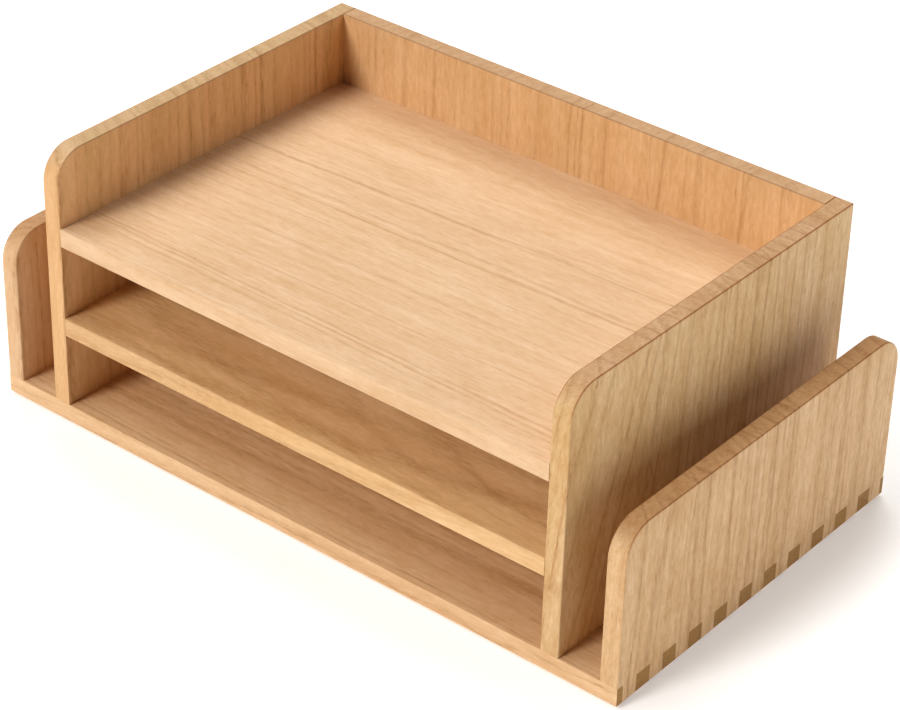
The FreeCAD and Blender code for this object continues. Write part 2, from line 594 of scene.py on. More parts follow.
@dataclass
class AshCut:
    """A board's cut through its log: the solid pattern's nodes, measured from the log's centre line.

    Attributes:
        ash: The board's finish.
        centre: The board's centre, in metres.
        tree: The material's tree.
        log: Place in the log, in millimetres, with Z along the fibres.
        ripple_mm: How far the rings ripple at the shortest range.
        bunching: Years of growth by which the rings bunch up and thin out.
        bunch_scale: How often they do so, for each year.
        faintest: Strength of the faintest year's line, where the strongest is 1.
        gap_line: Strength of a line in its gaps, and at its fullest.
        line_profile: Strength of a pore line at shares of a year's growth.
        mark_wander_mm: How far a year that stands out wanders.
    """

    ash: OiledAsh
    centre: Vector
    tree: Tree
    log: Value = field(init=False)
    ripple_mm: float = 0.45
    bunching: float = 2.8
    bunch_scale: float = 0.37
    faintest: float = 0.14
    gap_line: tuple[float, float] = (0.30, 1.15)
    line_profile: tuple[tuple[float, float], ...] = (
        (0.0, 0.60), (0.08, 1.0), (0.21, 0.62), (0.40, 0.18), (0.66, 0.02), (0.88, 0.10), (1.0, 0.60))
    mark_wander_mm: float = 5.0

    def __post_init__(self) -> None:
        """Turn and shift the board's Object coordinates into the log's."""
        lean = Euler((*map(math.radians, self.ash.lean), 0)).to_matrix()
        turn = lean @ self.ash.grain.turn()
        shift = turn @ (self.centre / MM + Vector(self.ash.pith))
        self.log = self._place(Rotation=turn.to_euler(), Location=-shift)

    def _place(self, **settings: Any) -> Value:
        """Object coordinates in millimetres, turned and shifted by a Mapping node's inputs."""
        coords = self.tree.value("ShaderNodeTexCoord", output="Object")
        return self.tree.value("ShaderNodeMapping", {
            "Vector": coords, "Scale": (1 / MM,) * 3, **settings})

    def noise(self, layer: Layer, whole: bool = False) -> Value:
        """Noise stretched along the fibres.

        Args:
            layer: Which of the wood's noises.
            whole: True for a vector of three noises, and False for one.

        Returns:
            Noise from 0 to 1.
        """
        across, along, detail, number = layer.value
        seed = self.ash.seed
        mapping = self.tree.add("ShaderNodeMapping", {
            "Vector": self.log, "Scale": (1 / across, 1 / across, 1 / along),
            "Location": (seed * 7.3 + number * 31.7, seed * 11.9 + number * 5.3, number * 17.1)})
        return self.tree.value("ShaderNodeTexNoise", {
            "Vector": mapping, "Scale": 1.0, "Detail": detail, "Roughness": 0.55,
        }, "Color" if whole else "Fac")

    def step(self, value: Value, low: float, high: float, to_low: float = 0.0,
             to_high: float = 1.0) -> Value:
        """Smooth step between two levels, flat outside them.

        Args:
            value: What is mapped.
            low: Value that becomes to_low.
            high: Value that becomes to_high.
            to_low: Result at and below low.
            to_high: Result at and above high.

        Returns:
            The mapped value.
        """
        return self.tree.value("ShaderNodeMapRange", {
            "Value": value, "From Min": low, "From Max": high, "To Min": to_low, "To Max": to_high,
        }, interpolation_type="SMOOTHSTEP")

    def rings(self) -> tuple[Value, Value]:
        """Annual rings.

        Returns:
            How far each point is tinted by a pore line, and a random number for each year.
        """
        tree, ash, place = self.tree, self.ash, self.log
        for layer, amount in ((Layer.RING_WANDER, ash.wander_mm), (Layer.RING_WAVE, ash.wave_mm),
                              (Layer.RING_RIPPLE, self.ripple_mm)):
            centred = tree.add("ShaderNodeVectorMath", {
                0: self.noise(layer, whole=True), 1: (0.5,) * 3}, operation="SUBTRACT")
            place = tree.value("ShaderNodeVectorMath", {
                0: centred, 1: (2 * amount,) * 3, 2: place}, operation="MULTIPLY_ADD")
        flat = tree.add("ShaderNodeVectorMath", {0: place, 1: (1, 1, 0)}, operation="MULTIPLY")
        radius = tree.value("ShaderNodeVectorMath", {0: flat}, "Value", operation="LENGTH")
        years = radius * (1 / ash.ring_mm)
        uneven = tree.value("ShaderNodeTexNoise", {
            "W": years, "Scale": self.bunch_scale, "Detail": 1.0}, "Fac", noise_dimensions="1D")
        years = years + ash.seed + uneven * self.bunching
        chance = tree.value("ShaderNodeTexWhiteNoise", {
            "W": years.do("FLOOR")}, "Value", noise_dimensions="1D")
        profile = tree.value("ShaderNodeValToRGB", {"Fac": years.do("FRACT")})
        elements = profile.socket.node.color_ramp.elements
        while len(elements) < len(self.line_profile):
            elements.new(0.5)
        for element, (share, grey) in zip(elements, self.line_profile):
            element.position = share
            element.color = (grey, grey, grey, 1)
        power = chance.do("POWER", ash.rarity) * (1 - self.faintest) + self.faintest
        broken = self.step(self.noise(Layer.RING_BREAKS), 0.34, 0.64, *self.gap_line)
        lines = tree.value("ShaderNodeMath", {
            0: profile * power * broken, 1: ash.line_strength}, operation="MULTIPLY", use_clamp=True)
        return lines, chance

    def marks(self) -> list[Value]:
        """Strength of each year that stands out, from 0 to 1."""
        if not self.ash.marks:
            return []
        place = self.tree.add("ShaderNodeSeparateXYZ", {0: self._place(Location=-self.centre / MM)})
        along = Value(self.tree, place.outputs["X" if self.ash.grain is Grain.ALONG_X else "Z"])
        across = Value(self.tree, place.outputs["X" if self.ash.crosswise else "Y"])
        across = across + (self.noise(Layer.MARK_WANDER) - 0.5) * self.mark_wander_mm
        broken = self.step(self.noise(Layer.MARK_BREAKS), 0.32, 0.62, 0.40)
        bow = along * along
        drawn = []
        for mark in self.ash.marks:
            away = (across - along * mark.slope - bow * (mark.bend / 100 ** 2) - mark.across).do("ABSOLUTE")
            drawn.append(self.step(away, 0.0, mark.width, mark.strength, 0.0) * broken)
        return drawn

    def pores(self, lines: Value) -> Value:
        """Short dark dashes of open pores, crowded on the pore lines and sparse between them.

        Real pores are about 0.3 mm wide; these are drawn 0.7 mm wide, so that they show.

        Args:
            lines: Strength of the pore lines.

        Returns:
            Strength of the dashes.
        """
        dashes = self.step(self.noise(Layer.PORES), 0.58, 0.72)
        return dashes * (lines * (1.3 * self.ash.pores) + 0.14 * self.ash.pores)

    def cut_ends(self) -> tuple[Value, Value]:
        """How far a point is end grain, and how far it lies on an arris round end grain.

        Returns:
            Two shares from 0 to 1.
        """
        normal = self.tree.value("ShaderNodeTexCoord", output="Normal")
        facing = self.tree.value("ShaderNodeVectorMath", {
            0: normal, 1: self.ash.grain.length_axis()}, "Value", operation="DOT_PRODUCT")
        arris = self.tree.value("ShaderNodeAttribute", output="Fac", attribute_name=ARRIS)
        return self.step(facing.do("ABSOLUTE"), 0.35, 0.95), arris


@dataclass(frozen=True)
class FineFinish:
    """A finish whose two tones, gloss and relief all follow one fine pattern on Object coordinates.

    Attributes:
        name: Material name.
        tones: Colours where the pattern is low and where it is high.
        size: Size of the pattern, in metres.
        texture: Node that draws the pattern.
        detail: Number of the pattern's finer layers.
        rough: Roughness where the pattern is low and where it is high.
        relief_mm: Depth of the pattern's bump.
        relief: Strength of the bump, or 0 for none.
        even: The shader's inputs that are the same all over.
    """

    name: str
    tones: tuple[str, str]
    size: float
    texture: str = "ShaderNodeTexNoise"
    detail: float = 3.0
    rough: tuple[float, float] = (0.5, 0.5)
    relief_mm: float = 0.1
    relief: float = 0.0
    even: tuple[tuple[str, Any], ...] = ()

    def material(self) -> bpy.types.Material:
        """Build the material."""
        made, tree = new_material(self.name)
        coords = tree.value("ShaderNodeTexCoord", output="Object")
        pattern = tree.value(self.texture, {"Vector": coords, "Scale": 1 / self.size, "Detail": self.detail})
        colour = tree.value("ShaderNodeMix", {
            "Factor": pattern, MIX_A: linear(self.tones[0]), MIX_B: linear(self.tones[1]),
        }, MIX_RESULT, data_type="RGBA")
        inputs = {"Base Color": colour, "Roughness": self.rough[0], **dict(self.even)}
        if self.rough[0] != self.rough[1]:
            inputs["Roughness"] = tree.add("ShaderNodeMapRange", {
                "Value": pattern, "To Min": self.rough[0], "To Max": self.rough[1]})
        if self.relief:
            inputs["Normal"] = tree.add("ShaderNodeBump", {
                "Strength": self.relief, "Distance": self.relief_mm * MM, "Height": pattern})
        tree.add("ShaderNodeOutputMaterial", {"Surface": tree.add("ShaderNodeBsdfPrincipled", inputs)})
        return made


# Raw beech dowel rod: pinkish brown, closed fine grain with short dark ray flecks, quite matt.
RAW_BEECH = FineFinish("raw_beech", ("#C99B6E", "#9A6A42"), 0.8 * MM, rough=(0.7, 0.7), relief_mm=0.05,
                       relief=0.3, even=(("IOR", 1.5),))
# Zinc-plated steel, rolled and passivated: bright grey, a faint yellow cast, fine rolling marks.
ZINC_PLATED_STEEL = FineFinish("zinc_plated_steel", ("#C9C6BC", "#A39C88"), 2.5 * MM, detail=4.0,
                               rough=(0.26, 0.48), even=(("Metallic", 1.0),))
# Die-cut black rubber foam: very matt, with a fine open-cell skin.
RUBBER_FOAM = FineFinish("rubber_foam", ("#161514", "#2A2826"), 0.5 * MM, "ShaderNodeTexVoronoi", 0.0,
                         rough=(0.9, 0.9), relief_mm=0.1, relief=0.5, even=(("IOR", 1.5),))
# Matt white background paper: a barely visible mottle, lit through a little so that it stays pale.
BACKGROUND_PAPER = FineFinish("background_paper", ("#FBFAF8", "#F4F3F0"), 1 / 6, rough=(0.95, 0.95), even=(
    ("Specular IOR Level", 0.0), ("Emission Color", (1, 1, 1, 1)), ("Emission Strength", 0.3)))


# ---------------------------------------------------------------------------------------------
# Board cutting


@dataclass
class BoardCutter:
    """Cuts closed board solids, eases their arrises and dresses them.

    Attributes:
        drills: Shapes of every fastener's hole in the tray.
        free_mm: Rounding of an arris that a hand can touch.
        fitted_mm: Rounding of an arris inside a joint, which shows as a hairline.
        segments: Facets in each rounding.
        end_share: How fast a rounding that turns to the fibres' ends takes their colour.
        sharp_degrees: Angle past which an edge stays sharp.
    """

    drills: list[Piece]
    free_mm: float = 0.8
    fitted_mm: float = 0.14
    segments: int = 4
    end_share: float = 1.6
    sharp_degrees: float = 32.0

    def prism(self, node: str, profile: list[tuple[float, float]]) -> Piece:
        """Cut a board from side to side of its CAD node's box.

        Args:
            node: The CAD node.
            profile: Corners of the outline in Y and Z, in order.

        Returns:
            The solid, whose faces point out.
        """
        low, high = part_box(node)
        outline = [Vector((low.x, y, z)) for y, z in profile]
        along = Vector((high.x - low.x, 0, 0))
        count = len(outline)
        walls = [(i, (i + 1) % count, (i + 1) % count + count, i + count) for i in range(count)]
        faces = [tuple(reversed(range(count))), tuple(range(count, 2 * count)), *walls]
        area = sum((a.cross(b) for a, b in zip(outline, outline[1:] + outline[:1])), Vector())
        if area.dot(along) < 0:
            faces = [tuple(reversed(face)) for face in faces]
        mesh = bpy.data.meshes.new(f"ash_{node}")
        mesh.from_pydata([*outline, *(p + along for p in outline)], [], faces)
        mesh.update()
        return link_object(f"ash_{node}", mesh)

    def dress(self, piece: Piece, node: str, is_free: EdgeTest) -> None:
        """Ease a board's arrises, give it its own cut of ash, and put it in the frame.

        Args:
            piece: The board, with flat faces.
            node: Its CAD node.
            is_free: Tells from an edge's two ends whether a hand can touch it.
        """
        finish = ASH[node]
        self._ease(piece, is_free)
        self._mark_arrises(piece.data, finish.grain)
        weighted = piece.modifiers.new("level", "WEIGHTED_NORMAL")
        weighted.keep_sharp = True
        weighted.weight = 100
        bake_modifiers(piece)
        low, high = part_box(node)
        piece.data.materials.append(finish.material((low + high) / 2))
        place_in_frame(piece, node)

    def _ease(self, piece: Piece, is_free: EdgeTest) -> None:
        """Round every arris of a board and drill it.

        Args:
            piece: The board.
            is_free: Tells which arrises a hand can touch.
        """
        mesh = piece.data
        normals: dict[tuple[int, int], list[Vector]] = {}
        for face in mesh.polygons:
            for key in face.edge_keys:
                normals.setdefault(key, []).append(face.normal.copy())
        weights = mesh.attributes.new("bevel_weight_edge", "FLOAT", "EDGE")
        for edge in mesh.edges:
            first, second = normals[tuple(sorted(edge.vertices))]
            if first.dot(second) < 0.9:
                a, b = (mesh.vertices[i].co for i in edge.vertices)
                weights.data[edge.index].value = 1.0 if is_free(a, b) else self.fitted_mm / self.free_mm
        bevel = piece.modifiers.new("eased", "BEVEL")
        bevel.limit_method = "WEIGHT"
        bevel.width = self.free_mm * MM
        bevel.segments = self.segments
        bevel.harden_normals = False
        bevel.material = 1
        bevel.use_clamp_overlap = True
        for drill in self.drills:
            hole = piece.modifiers.new(drill.name, "BOOLEAN")
            hole.operation = "DIFFERENCE"
            hole.solver = "EXACT"
            hole.object = drill
        for _ in range(2):
            mesh.materials.append(None)
        bake_modifiers(piece)

    def _mark_arrises(self, mesh: bpy.types.Mesh, grain: Grain) -> None:
        """Write how far each rounding meets end grain, then shade the roundings smooth.

        Args:
            mesh: The board's mesh, whose roundings carry the second material.
            grain: Way its fibres run.
        """
        along = grain.length_axis()
        marks = mesh.attributes.new(ARRIS, "FLOAT", "FACE")
        for face in mesh.polygons:
            turned = min(1.0, self.end_share * abs(face.normal.dot(along)))
            marks.data[face.index].value = turned if face.material_index == 1 else 0.0
            face.material_index = 0
            face.use_smooth = True
        mesh.set_sharp_from_angle(angle=math.radians(self.sharp_degrees))
        mesh.materials.clear()


def near(a: float, b: float) -> bool:
    """True if two coordinates are the same plane."""
    return abs(a - b) < TOUCH


def rounded_top(node: str, radius: float, steps: int, rear_too: bool) -> list[tuple[float, float]]:
    """Outline of an upright board in Y and Z, with its upper corners rounded.

    Args:
        node: Its CAD node.
        radius: Radius of the corners.
        steps: Facets in a corner.
        rear_too: True if the rear corner is rounded as well as the front one.

    Returns:
        Corners from the front bottom over the top to the rear bottom.
    """
    low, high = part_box(node)

    def arc(y: float, start: float) -> list[tuple[float, float]]:
        """Quarter arc that turns clockwise from a starting angle."""
        angles = [start - math.pi / 2 * i / steps for i in range(steps + 1)]
        return [(y + radius * math.cos(t), high.z - radius + radius * math.sin(t)) for t in angles]

    front = arc(low.y + radius, math.pi)
    rear = arc(high.y - radius, math.pi / 2) if rear_too else [(high.y, high.z)]
    return [(low.y, low.z), *front, *rear, (high.y, low.z)]


# ---------------------------------------------------------------------------------------------
# Sub-assemblies


@dataclass
class BoxJointedBase:
    """Base board with a comb of fingers at each end, and the two low sides that they lock into.

    Attributes:
        cutter: Cuts and dresses the boards.
        first: From the base's front to the first finger's front edge, in metres.
        finger: Width of a finger.
        pitch: From one finger to the next.
        corner: Radius of the low sides' upper corners.
        arc_steps: Facets in a rounded corner.
    """

    cutter: BoardCutter
    first: float = -7 * MM
    finger: float = 12 * MM
    pitch: float = 24 * MM
    corner: float = 20 * MM
    arc_steps: int = 24

    def build(self) -> None:
        """Make the base and both low sides."""
        self._base()
        for node in ("left_outer_side", "right_outer_side"):
            self._low_side(node)

    def _planes(self) -> list[float]:
        """Place along Y of every finger edge, a front and a rear one in turn, kept within the base."""
        low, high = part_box("base_board")
        count = math.ceil((high.y - low.y - self.first) / self.pitch)
        edges = [low.y + self.first + index * self.pitch + far * self.finger
                 for index in range(count) for far in (0, 1)]
        return [min(max(edge, low.y), high.y) for edge in edges]

    def _base(self) -> None:
        """Grow the base from the joint's rule and dress it."""
        low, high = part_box("base_board")
        board = self._comb_tree().grow("ash_base_board", {
            "Core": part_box("right_outer_side")[0].x, "Outer": high.x, "Front": low.y, "Rear": high.y,
            "First": self.first, "Finger": self.finger, "Pitch": self.pitch,
            "Planes": len(self._planes()), "Bottom": low.z, "Thickness": high.z - low.z})
        board.data.materials.clear()

        def is_free(a: Vector, b: Vector) -> bool:
            """The arrises all round the underside."""
            under = near(a.z, low.z) and near(b.z, low.z)
            across = near(a.y, b.y) and (near(a.y, low.y) or near(a.y, high.y))
            ends = near(abs(a.x), high.x) and near(abs(b.x), high.x)
            return under and (across or ends)

        self.cutter.dress(board, "base_board", is_free)

    def _comb_tree(self) -> GeometryTree:
        """Tree that draws the base's outline from the joint's rule, fills it and gives it thickness.

        The outline's points are counted from 0. Two of them lie on each finger edge, and they step
        in or out between the core and the finger ends. The second half mirrors the first.
        """
        comb = GeometryTree("comb_board")
        core, outer, front, rear, first, finger, pitch, bottom, thickness = comb.inputs(
            "Core", "Outer", "Front", "Rear", "First", "Finger", "Pitch", "Bottom", "Thickness")
        planes, = comb.inputs("Planes", kind="Int")
        half = planes * 2.0
        line = comb.add("GeometryNodeMeshLine", {"Count": half * 2.0})
        index = comb.value("GeometryNodeInputIndex")
        mirrored = index.do("GREATER_THAN", half - 0.5)
        place = comb.value("GeometryNodeSwitch", {
            "Switch": mirrored, "False": index, "True": half * 2.0 - 1.0 - index}, input_type="FLOAT")
        plane = (place * 0.5).do("FLOOR")
        whole = (plane * 0.5).do("FLOOR")
        odd = plane.do("FLOORED_MODULO", 2.0)
        y = (front + (whole * pitch + (odd * finger + first))).do("MAXIMUM", front).do("MINIMUM", rear)
        out = (plane + place.do("FLOORED_MODULO", 2.0)).do("FLOORED_MODULO", 2.0)
        x = (out * (outer - core) + core) * (mirrored * -2.0 + 1.0)
        curve = comb.add("GeometryNodeMeshToCurve", {"Mesh": comb.move(line, x, y)})
        closed = comb.add("GeometryNodeSetSplineCyclic", {"Geometry": curve, "Cyclic": True})
        filled = comb.add("GeometryNodeFillCurve", {"Curve": closed}, mode="NGONS")
        up, lift = (comb.add("ShaderNodeCombineXYZ", {"Z": height}) for height in (thickness, bottom))
        solid = comb.add("GeometryNodeExtrudeMesh", {"Mesh": filled, "Offset": up, "Individual": False})
        under = comb.add("GeometryNodeFlipFaces", {"Mesh": filled})
        joined = comb.add("GeometryNodeJoinGeometry", {0: [solid, under]})
        merged = comb.add("GeometryNodeMergeByDistance", {"Geometry": joined, "Distance": 0.001 * MM})
        comb.finish(comb.add("GeometryNodeSetPosition", {"Geometry": merged, "Offset": lift}))
        return comb

    def _low_side(self, node: str) -> None:
        """Cut one low side, with rounded upper corners and sockets for the base's fingers.

        Args:
            node: Its CAD node.
        """
        low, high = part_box(node)
        base_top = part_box("base_board")[1].z
        profile = [(y, z) for y, z in rounded_top(node, self.corner, self.arc_steps, rear_too=True)
                   if z > low.z + TOUCH]
        teeth = []
        for index, y in enumerate(self._planes()):
            levels = (low.z, base_top) if index % 2 == 0 else (base_top, low.z)
            teeth += [(y, z) for z in levels]
        board = self.cutter.prism(node, profile + teeth[-2:0:-1])
        outer_x = max(low.x, high.x, key=abs)

        def is_free(a: Vector, b: Vector) -> bool:
            """The arrises of the rounded outline, and the lowest ones of the outer face."""
            above = a.z > base_top + TOUCH or b.z > base_top + TOUCH
            under = near(a.z, low.z) and near(b.z, low.z) and near(a.x, outer_x) and near(b.x, outer_x)
            return above or under

        self.cutter.dress(board, node, is_free)


@dataclass
class TallCarcase:
    """Tall sides, top deck, middle shelf and back panel.

    Attributes:
        cutter: Cuts and dresses the boards.
        corner: Radius of the tall sides' front upper corner, in metres.
        arc_steps: Facets in that corner.
    """

    cutter: BoardCutter
    corner: float = 20 * MM
    arc_steps: int = 24

    def build(self) -> None:
        """Make the five boards."""
        for node in ("left_tall_side", "right_tall_side"):
            self._tall_side(node)
        for node in ("top_deck", "middle_shelf"):
            self._flat_board(node, axis=1, level=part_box(node)[0].y)
        self._flat_board("back_panel", axis=2, level=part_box("back_panel")[1].z)

    def _tall_side(self, node: str) -> None:
        """Cut one tall side.

        Args:
            node: Its CAD node.
        """
        low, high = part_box(node)
        outer_x = max(low.x, high.x, key=abs)
        deck_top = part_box("top_deck")[1].z

        def is_free(a: Vector, b: Vector) -> bool:
            """The outline of the outer face, and of the inner face above the deck."""
            off_base = not (near(a.z, low.z) and near(b.z, low.z))
            outer = near(a.x, outer_x) and near(b.x, outer_x)
            above = a.z > deck_top + TOUCH and b.z > deck_top + TOUCH
            return off_base and (outer or above)

        board = self.cutter.prism(node, rounded_top(node, self.corner, self.arc_steps, rear_too=False))
        self.cutter.dress(board, node, is_free)

    def _flat_board(self, node: str, axis: int, level: float) -> None:
        """Cut one rectangular board, whose two long arrises at a level of Y or Z are free.

        Args:
            node: Its CAD node.
            axis: 1 for Y, 2 for Z.
            level: Place of the free arrises on that axis.
        """
        low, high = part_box(node)
        board = self.cutter.prism(node, [(low.y, low.z), (low.y, high.z), (high.y, high.z), (high.y, low.z)])
        self.cutter.dress(board, node, lambda a, b: (
            near(a[axis], level) and near(b[axis], level) and not near(a.x, b.x)))


# ---------------------------------------------------------------------------------------------
# Fasteners and pads


@dataclass
class Row:
    """Evenly spaced fasteners of one CAD node.

    Attributes:
        node: The CAD node.
        run: Axis along which they are spaced: 0, 1 or 2.
        point: Axis along which each one points.
        count: How many there are.
    """

    node: str
    run: int
    point: int
    count: int = 3

    def radius(self) -> float:
        """Widest radius of one fastener."""
        low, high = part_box(self.node)
        across = 3 - self.run - self.point
        return (high[across] - low[across]) / 2

    def length(self) -> float:
        """Length of one fastener."""
        low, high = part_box(self.node)
        return high[self.point] - low[self.point]

    def values(self, early: float = 0.0) -> dict[str, Any]:
        """Inputs of a tree that sets the row out.

        Args:
            early: How far before the fastener's own start each one begins.

        Returns:
            The first one's place, the step to the next, their turn and their number.
        """
        low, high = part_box(self.node)
        start = (low + high) / 2
        start[self.point] = low[self.point] - early
        start[self.run] = low[self.run] + self.radius()
        step = Vector()
        step[self.run] = (high[self.run] - low[self.run] - 2 * self.radius()) / (self.count - 1)
        turn = {0: (0, math.pi / 2, 0), 1: (-math.pi / 2, 0, 0), 2: (0, 0, 0)}[self.point]
        return {"Start": tuple(start), "Step": tuple(step), "Turn": turn, "Count": self.count}


@dataclass
class Fasteners:
    """Rows of one kind of fastener, one row for each CAD node."""

    rows: tuple[Row, ...] = ()

    def grow(self, tree: GeometryTree, label: str, wider: float = 0.0, early: float = 0.0,
             longer: float = 0.0, **sizes: Any) -> list[Piece]:
        """Grow every row of the fasteners or of their holes.

        Args:
            tree: Tree of one of them.
            label: What each new object's name starts with.
            wider: Added to the radius.
            early: How far before the fastener's own start each one begins.
            longer: Added to the length.
            **sizes: The tree's other inputs.

        Returns:
            One object for each row.
        """
        return [tree.grow(f"{label}_{row.node}", {
            "Radius": row.radius() + wider, "Length": row.length() + longer, **row.values(early), **sizes})
            for row in self.rows]

    def fit(self, pieces: list[Piece], slot: str) -> None:
        """Put every row into the frame."""
        for row, piece in zip(self.rows, pieces):
            place_in_frame(piece, row.node)


@dataclass
class Dowels(Fasteners):
    """Blind fluted dowels that hold the deck, the shelf and the back."""

    chamfer: float = 0.6 * MM
    flutes: int = 18
    flute: float = 0.22 * MM
    glue_gap: float = 0.12 * MM
    end_gap: float = 0.5 * MM
    hole_chamfer: float = 0.3 * MM
    rows: tuple[Row, ...] = (
        Row("deck_dowels_left", 1, 0), Row("deck_dowels_right", 1, 0),
        Row("shelf_dowels_left", 1, 0), Row("shelf_dowels_right", 1, 0),
        Row("back_dowels_left", 2, 0), Row("back_dowels_right", 2, 0),
        Row("deck_rear_dowels", 0, 1))

    def tree(self) -> GeometryTree:
        """Tree that turns one dowel, presses its flutes in, and sets the row out."""
        tree = GeometryTree("fluted_dowels")
        radius, length, chamfer, flute = tree.inputs("Radius", "Length", "Chamfer", "Flute")
        end = radius - chamfer
        profile = [(end, 0.0), (radius, chamfer), (radius, length - chamfer), (end, length)]
        tree.finish_row(tree.turned(profile, 4 * self.flutes, flute, self.flutes))
        return tree

    def holes(self) -> Piece:
        """Make one object of all the dowels' holes, to cut the boards with."""
        return join("dowel_holes", self.grow(
            self.tree(), "hole", wider=self.glue_gap, early=self.end_gap, longer=2 * self.end_gap,
            Chamfer=self.hole_chamfer, Flute=0.0))

    def build(self) -> None:
        """Make every row of dowels."""
        self.fit(self.grow(self.tree(), "beech", Chamfer=self.chamfer, Flute=self.flute,
                           Finish=RAW_BEECH.material()), "dowel_beech")


@dataclass
class Screws(Fasteners):
    """Countersunk wood screws, driven up through the base into the tall sides and the back."""

    shank: float = 1.7 * MM
    core: float = 1.25 * MM
    rim: float = 0.3 * MM
    clearance: float = 0.1 * MM
    mouth: float = 1.3 * MM
    tip: float = 4.0 * MM
    blunt: float = 0.06
    thread_start: float = 12.0 * MM
    thread_pitch: float = 1.4 * MM
    thread_rings: int = 120
    thread_swell: float = 12.0
    overlap: float = 0.4 * MM
    recess_span: float = 4.0 * MM
    recess_width: float = 1.0 * MM
    recess_depth: float = 1.6 * MM
    recess_floor: float = 0.55
    facets: int = 24
    rows: tuple[Row, ...] = (
        Row("left_side_screws", 1, 2), Row("right_side_screws", 1, 2), Row("back_screws", 0, 2))

    def holes(self) -> Piece:
        """Make one object of all the screws' countersunk holes, to cut the boards with."""
        tree = GeometryTree("screw_holes")
        head, length = tree.inputs("Radius", "Length")
        shank = self.shank + self.clearance
        tree.finish_row(tree.turned([
            (head, 0.0), (head, self.mouth + self.rim), (shank, head - shank + (self.mouth + self.rim)),
            (shank, length + (self.mouth - self.tip)), (0.1 * MM, length + self.mouth)], 2 * self.facets))
        return join("screw_holes", self.grow(tree, "hole", wider=self.clearance, early=self.mouth))

    def build(self) -> None:
        """Make every row of screws."""
        steel = ZINC_PLATED_STEEL.material()
        self.fit(self.grow(self._tree(), "zinc", Finish=steel), "screw_steel")

    def _tree(self) -> GeometryTree:
        """Tree that turns one screw, cuts its thread and its cross recess, and sets the row out."""
        tree = GeometryTree("countersunk_screws")
        head, length = tree.inputs("Radius", "Length")
        neck = tree.turned([(head, 0.0), (head, self.rim), (self.core, head - self.core + self.rim),
                            (self.core, self.thread_start + self.overlap)], 2 * self.facets)
        whole = tree.add("GeometryNodeMeshBoolean", {"Mesh 2": [neck, self._thread(tree, length)]},
                         operation="UNION", solver="EXACT")
        bars = [self._recess_bar(tree, turn) for turn in (0.0, math.pi / 2)]
        tree.finish_row(tree.add("GeometryNodeMeshBoolean", {"Mesh 1": whole, "Mesh 2": bars},
                                 operation="DIFFERENCE", solver="EXACT"))
        return tree

    def _thread(self, tree: GeometryTree, length: Value) -> bpy.types.Node:
        """Threaded part of one screw: a cylinder whose radius follows a helix and narrows to the tip.

        Args:
            tree: The screws' tree.
            length: Length of a screw.

        Returns:
            The closed threaded part.
        """
        blank = tree.add("GeometryNodeMeshCylinder", {
            "Vertices": self.facets, "Side Segments": self.thread_rings, "Radius": 1.0, "Depth": 1.0})
        x, y, z = tree.position()
        share = z + 0.5
        height = share * (length - self.thread_start) + self.thread_start
        turns = height / self.thread_pitch - y.do("ARCTAN2", x) / math.tau
        ridge = (turns.do("PINGPONG", 0.5) * 2.0).do("POWER", 2.0)
        crest = ridge * (share * self.thread_swell).do("MINIMUM", 1.0) * (self.shank - self.core)
        taper = ((length - height) / self.tip).do("MINIMUM", 1.0).do("MAXIMUM", self.blunt)
        radius = (crest + self.core) * taper
        return tree.move(blank, x * radius, y * radius, height)

    def _recess_bar(self, tree: GeometryTree, turn: float) -> bpy.types.Node:
        """One bar of the cross recess, which narrows from the head's flat to its floor.

        Args:
            tree: The screws' tree.
            turn: Its turn about the screw, in radians.

        Returns:
            The closed bar.
        """
        cube = tree.add("GeometryNodeMeshCube", {"Size": (1.0, 1.0, 1.0)})
        x, y, z = tree.position()
        wide = z * (self.recess_floor - 1) + (self.recess_floor + 1) / 2
        bar = tree.move(cube, x * wide * self.recess_span, y * wide * self.recess_width,
                        z * self.recess_depth + 0.4 * self.recess_depth)
        return tree.add("GeometryNodeTransform", {"Geometry": bar, "Rotation": (0.0, 0.0, turn)})


@dataclass
class Pads:
    """Round anti-slip pads under the base's corners, with pressed rims and dished undersides."""

    nodes: tuple[str, ...] = ("front_left_pad", "front_right_pad", "rear_left_pad", "rear_right_pad")
    rim: float = 0.3 * MM
    dish: float = 0.15 * MM
    dish_floor: float = 0.66
    dish_edge: float = 0.72
    facets: int = 64

    def build(self) -> None:
        """Make the four pads."""
        tree = GeometryTree("pads")
        radius, thickness = tree.inputs("Radius", "Thickness")
        bead = 0.3 * self.rim
        profile = [(radius * self.dish_floor, self.dish), (radius * self.dish_edge, 0.0),
                   (radius - self.rim, 0.0), (radius - bead, bead), (radius, self.rim), (radius, thickness)]
        tree.finish_row(tree.turned(profile, self.facets))
        rubber = RUBBER_FOAM.material()
        for node in self.nodes:
            low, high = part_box(node)
            centre = (low + high) / 2
            piece = tree.grow(f"rubber_{node}", {
                "Radius": (high.x - low.x) / 2, "Thickness": high.z - low.z, "Finish": rubber,
                "Count": 1, "Start": (centre.x, centre.y, low.z), "Step": (0.0,) * 3, "Turn": (0.0,) * 3})
            place_in_frame(piece, node)


# ---------------------------------------------------------------------------------------------
# Studio


@dataclass(frozen=True)
class SoftLight:
    """A far soft box.

    Attributes:
        name: Its name.
        azimuth: Where it stands round the tray, in degrees from the front, to the right.
        elevation: Its height above the horizon, in degrees.
        spread: How wide it looks from the tray, in degrees.
        strength: Light on a surface that faces it, in watts per square metre.
    """

    name: str
    azimuth: float
    elevation: float
    spread: float
    strength: float

    def hang(self) -> None:
        """Put the light into the scene."""
        place = station(self.azimuth, self.elevation)
        light = bpy.data.lights.new(self.name, "SUN")
        light.angle = math.radians(self.spread)
        light.energy = self.strength
        stand(light, 2 * place, place)


